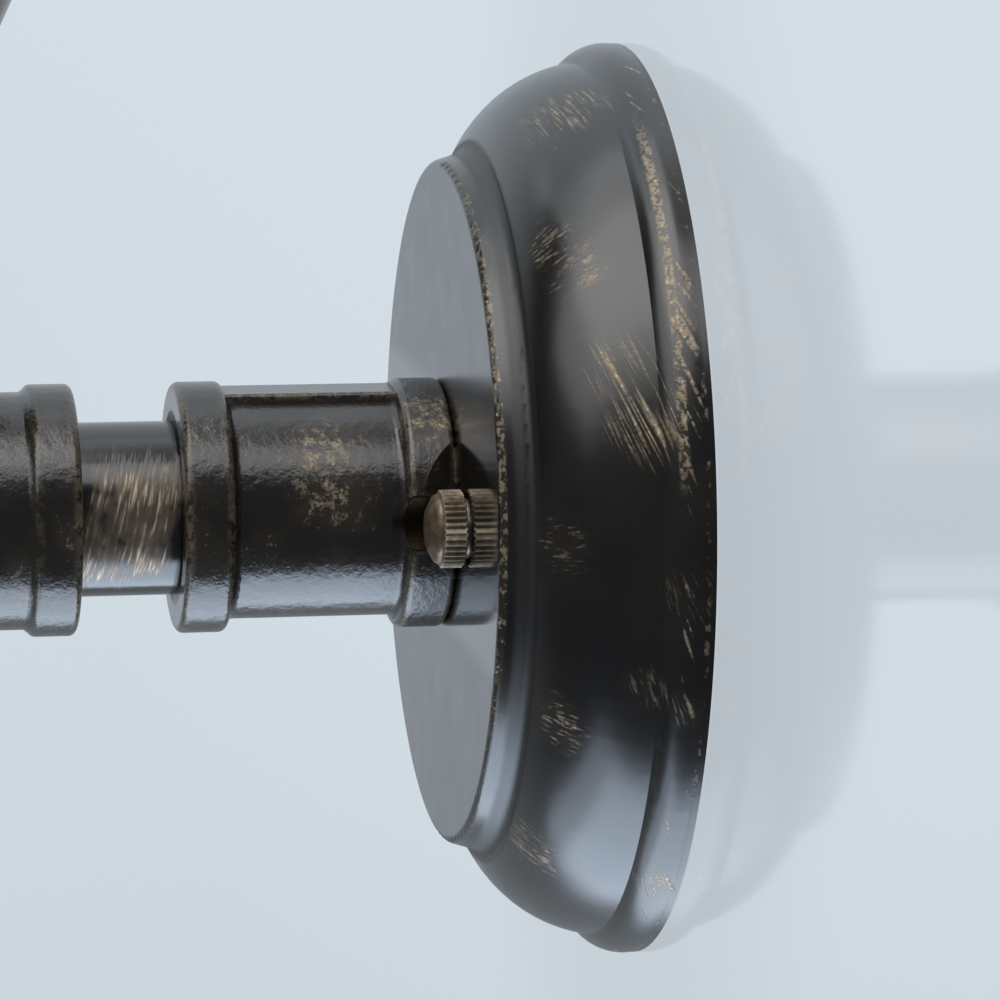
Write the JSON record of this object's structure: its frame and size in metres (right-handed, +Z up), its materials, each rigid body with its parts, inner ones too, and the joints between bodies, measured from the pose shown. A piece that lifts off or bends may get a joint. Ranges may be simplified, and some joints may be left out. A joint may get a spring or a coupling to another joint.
{
  "type": "wall sconce",
  "caption": "Industrial pipe wall sconce: stepped round canopy, banded coupling, short arm, elbow and lamp cup with a screw-in bulb, dark bronze finish worn to brass.",
  "frame": {"origin": "centre of the canopy's back rim, on the wall plane", "axes": "+Y into the wall, so the arm runs along -Y away from it; +Z up towards the bulb; +X to the right when facing the wall"},
  "size_m": [0.1128, 0.1255, 0.2495],
  "materials": {
    "canopy_paint": "satin black-bronze paint with brass brushed through",
    "coupling_iron": "dark bronze lacquer over cast iron, worn to brass",
    "elbow_iron": "dark bronze lacquer over cast iron, worn to brass",
    "arm_pipe": "dark lacquer brushed through around the pipe",
    "riser_pipe": "dark lacquer brushed through around the pipe",
    "bare_pipe": "plain steel",
    "cup_paint": "satin black-bronze paint with brass brushed through",
    "nut_bronze": "dark bronze, knurl rubbed bright",
    "zinc_steel": "zinc plated",
    "screw_steel": "zinc plated",
    "green_screw": "green earth screw",
    "bush_plastic": "black nylon",
    "block_plastic": "natural nylon",
    "terminal_brass": "turned",
    "cable_sheath": "black sheath",
    "core_brown": "brown insulation",
    "core_blue": "blue insulation",
    "core_green": "green insulation",
    "porcelain": "white glaze",
    "contact_brass": "pressed",
    "cap_brass": "rolled thread",
    "vitrite": "black glass insulator",
    "solder": "solder",
    "bulb_glass": "clear",
    "stem_glass": "clear",
    "support_wire": "drawn wire",
    "carbon_filament": "carbon filament, unlit"
  },
  "bodies": {
    "wall_plate": {"canopy": "canopy_paint", "mounting_bracket": "zinc_steel", "bracket_studs": "screw_steel", "stud_lock_nuts": "screw_steel", "entry_nipple": "bare_pipe", "lock_washer": "zinc_steel", "lock_nut": "zinc_steel", "cable_bush": "bush_plastic", "coupling": "coupling_iron", "arm_nipple": "arm_pipe", "arm_cable": "cable_sheath", "core_live": "core_brown", "core_neutral": "core_blue", "earth_wire": "core_green", "earth_lug": "zinc_steel", "earth_screw": "green_screw", "terminal_block": "block_plastic", "terminal_barrels": "terminal_brass", "clamp_screws": "screw_steel", "block_screw": "screw_steel"},
    "lamp_head": {"elbow": "elbow_iron", "riser_nipple": "riser_pipe", "head_cable": "cable_sheath", "lamp_cup": "cup_paint", "holder_saddle": "zinc_steel", "saddle_screws": "screw_steel", "holder_screws": "screw_steel", "holder_insulator": "porcelain", "screw_shell": "contact_brass", "centre_contact": "contact_brass", "holder_lead_live": "core_brown", "holder_lead_neutral": "core_blue"},
    "bulb": {"bulb_tip": "solder", "bulb_insulator": "vitrite", "bulb_cap": "cap_brass", "bulb_glass": "bulb_glass", "bulb_stem": "stem_glass", "bulb_supports": "support_wire", "bulb_filament": "carbon_filament"},
    "washer_left": {"nut_washer_left": "nut_bronze"},
    "nut_left": {"knurled_nut_left": "nut_bronze"},
    "washer_right": {"nut_washer_right": "nut_bronze"},
    "nut_right": {"knurled_nut_right": "nut_bronze"}
  },
  "joints": [
    {"name": "elbow_swivel", "type": "hinge", "parent": "wall_plate", "child": "lamp_head", "pos_m": [0, -0.0742, 0], "axis": [0, 1, 0], "range_deg": [-90, 90]},
    {"name": "bulb_lift", "type": "slide", "parent": "lamp_head", "child": "bulb", "axis": [0, 0, 1], "range_m": [0, 0.035]},
    {"name": "nut_left_travel", "type": "slide", "parent": "wall_plate", "child": "washer_left", "axis": [0, -1, 0], "range_m": [0, 0.0028]},
    {"name": "nut_left_turn", "type": "hinge", "parent": "washer_left", "child": "nut_left", "pos_m": [-0.0189, -0.0227, 0], "axis": [0, -1, 0], "range_deg": [0, 1440]},
    {"name": "nut_right_travel", "type": "slide", "parent": "wall_plate", "child": "washer_right", "axis": [0, -1, 0], "range_m": [0, 0.0028]},
    {"name": "nut_right_turn", "type": "hinge", "parent": "washer_right", "child": "nut_right", "pos_m": [0.0189, -0.0227, 0], "axis": [0, -1, 0], "range_deg": [0, 1440]}
  ],
  "couplings": [
    {"joint": "nut_left_turn", "follows": "nut_left_travel", "rad_per_m": 8976},
    {"joint": "nut_right_turn", "follows": "nut_right_travel", "rad_per_m": 8976}
  ]
}
